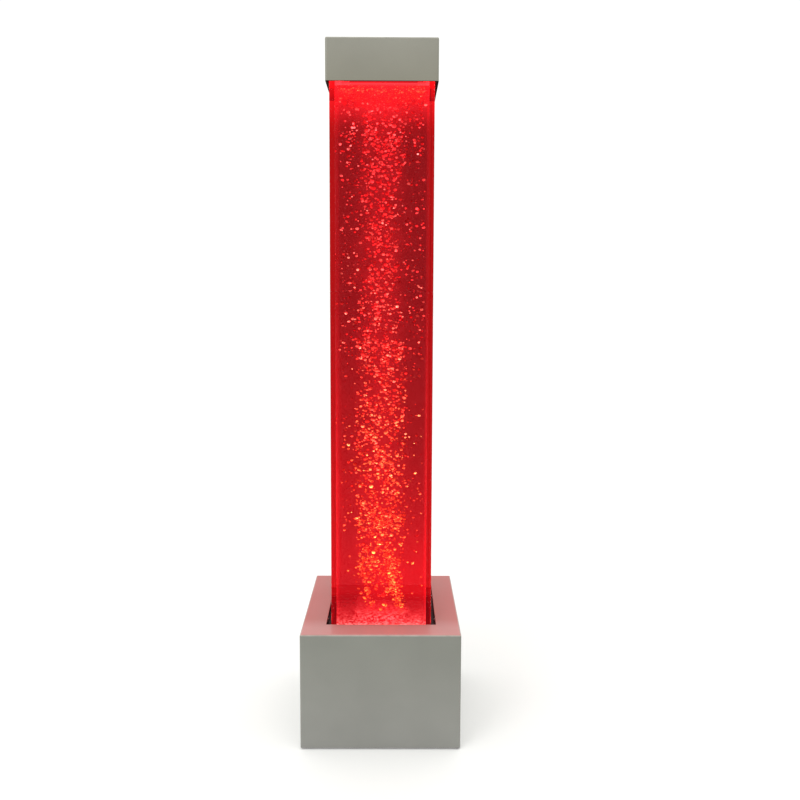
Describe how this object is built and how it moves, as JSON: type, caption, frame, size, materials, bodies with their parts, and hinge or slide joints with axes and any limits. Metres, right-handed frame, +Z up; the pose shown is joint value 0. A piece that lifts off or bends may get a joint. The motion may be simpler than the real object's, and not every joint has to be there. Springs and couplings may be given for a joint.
{
  "type": "bubble tube floor lamp",
  "caption": "Square clear water column on a lit box base, with bubbles fed by an air pump and a lift-off cap.",
  "frame": {"origin": "on the floor, under the middle of the base box", "axes": "+Z up along the water column; the front faces -Y and the service bay faces +Y"},
  "size_m": [0.314, 0.314, 1.37],
  "materials": {
    "base_lacquer": "satin grey lacquer on sheet",
    "cap_lacquer": "satin warm grey lacquer on sheet",
    "floor_board": "dark grey board",
    "block_timber": "planed softwood",
    "zinc_steel": "zinc plated",
    "foot_rubber": "matt rubber",
    "post_aluminium": "turned aluminium",
    "platform_paint": "powder coated steel",
    "gasket_rubber": "closed-cell rubber",
    "clear_acrylic": "polished clear acrylic",
    "black_acrylic": "polished black acrylic",
    "water": "still water, lit red",
    "bubble_air": "curved skin of air in water, catching red light",
    "white_nylon": "moulded white nylon",
    "seal_rubber": "silicone rubber",
    "hose_plastic": "clear soft hose",
    "valve_white": "moulded white plastic",
    "blue_plastic": "moulded blue plastic",
    "black_plastic": "moulded black plastic",
    "core_iron": "laminated iron",
    "copper_winding": "enamelled copper wire",
    "magnet": "sintered magnet",
    "diaphragm_rubber": "moulded rubber",
    "chromed_ball": "plated brass ball",
    "lever_red": "glossy red plastic",
    "rocker_red": "glossy red plastic",
    "button_ring": "plated metal",
    "button_black": "matt black plastic",
    "tray_aluminium": "folded aluminium",
    "light_board": "white solder resist on board",
    "light_chips": "light-emitting chips",
    "control_board": "green solder resist on board",
    "lead_sheath": "white flexible sheath",
    "seat_plastic": "machined white plastic"
  },
  "bodies": {
    "lamp": {"base_shroud": "base_lacquer", "base_floor": "floor_board", "corner_blocks": "block_timber", "floor_screws": "zinc_steel", "rubber_feet": "foot_rubber", "platform_posts": "post_aluminium", "post_screws": "zinc_steel", "tank_platform": "platform_paint", "tank_gasket": "gasket_rubber", "tank_flange": "black_acrylic", "flange_bolts": "zinc_steel", "tank_front_wall": "clear_acrylic", "tank_rear_wall": "clear_acrylic", "tank_left_wall": "clear_acrylic", "tank_right_wall": "clear_acrylic", "tank_floor": "clear_acrylic", "air_chamber": "clear_acrylic", "water": "water", "bubbles": "bubble_air", "bulkhead_fittings": "white_nylon", "bulkhead_seals": "seal_rubber", "bulkhead_nuts": "white_nylon", "air_hoses": "hose_plastic", "check_valve_body": "valve_white", "check_valve_cap": "blue_plastic", "pump_case": "black_plastic", "pump_lid": "blue_plastic", "pump_feet": "foot_rubber", "pump_core": "core_iron", "pump_coil": "copper_winding", "pump_pivot_pin": "zinc_steel", "pump_diaphragm": "diaphragm_rubber", "pump_valve_box": "white_nylon", "drain_hose": "hose_plastic", "drain_elbow": "white_nylon", "drain_valve_body": "white_nylon", "drain_spigot": "white_nylon", "led_tray": "tray_aluminium", "led_board": "light_board", "led_chips": "light_chips", "led_cover": "clear_acrylic", "led_tray_screws": "zinc_steel", "service_bay": "black_plastic", "service_bay_screws": "zinc_steel", "switch_body": "black_plastic", "button_body": "button_ring", "dc_jack": "black_plastic", "control_case": "black_plastic", "control_lid": "black_plastic", "control_board": "control_board", "leads": "lead_sheath"},
    "cap": {"cap_shell": "cap_lacquer", "cap_seats": "seat_plastic"},
    "rocker": {"power_rocker": "rocker_red"},
    "button": {"mode_button": "button_black"},
    "tap_closer": {"drain_ball": "chromed_ball", "drain_lever": "lever_red"},
    "pump_swinger": {"pump_arm": "white_nylon", "pump_magnet": "magnet"},
    "valve_disc": {"check_valve_poppet": "valve_white"}
  },
  "joints": [
    {"name": "cap_lift", "type": "slide", "parent": "lamp", "child": "cap", "axis": [0, 0, 1], "range_m": [0, 0.15]},
    {"name": "rocker_tilt", "type": "hinge", "parent": "lamp", "child": "rocker", "pos_m": [-0.03, 0.109, 0.08], "axis": [0, 0, 1], "range_deg": [-20, 0]},
    {"name": "mode_button_press", "type": "slide", "parent": "lamp", "child": "button", "axis": [0, -1, 0], "range_m": [0, 0.0015], "stiffness_N_per_m": 400},
    {"name": "drain_lever_turn", "type": "hinge", "parent": "lamp", "child": "tap_closer", "pos_m": [0.042, 0.1215, 0.06], "axis": [0, 0, 1], "range_deg": [0, 90]},
    {"name": "pump_arm_swing", "type": "hinge", "parent": "lamp", "child": "pump_swinger", "pos_m": [-0.018, -0.006, 0.042], "axis": [0, 0, 1], "range_deg": [-1.5, 1.5], "stiffness_Nm_per_rad": 0.2, "deforming": ["pump_diaphragm"]},
    {"name": "check_valve_lift", "type": "slide", "parent": "lamp", "child": "valve_disc", "axis": [0, 0, 1], "range_m": [0, 0.001]}
  ]
}
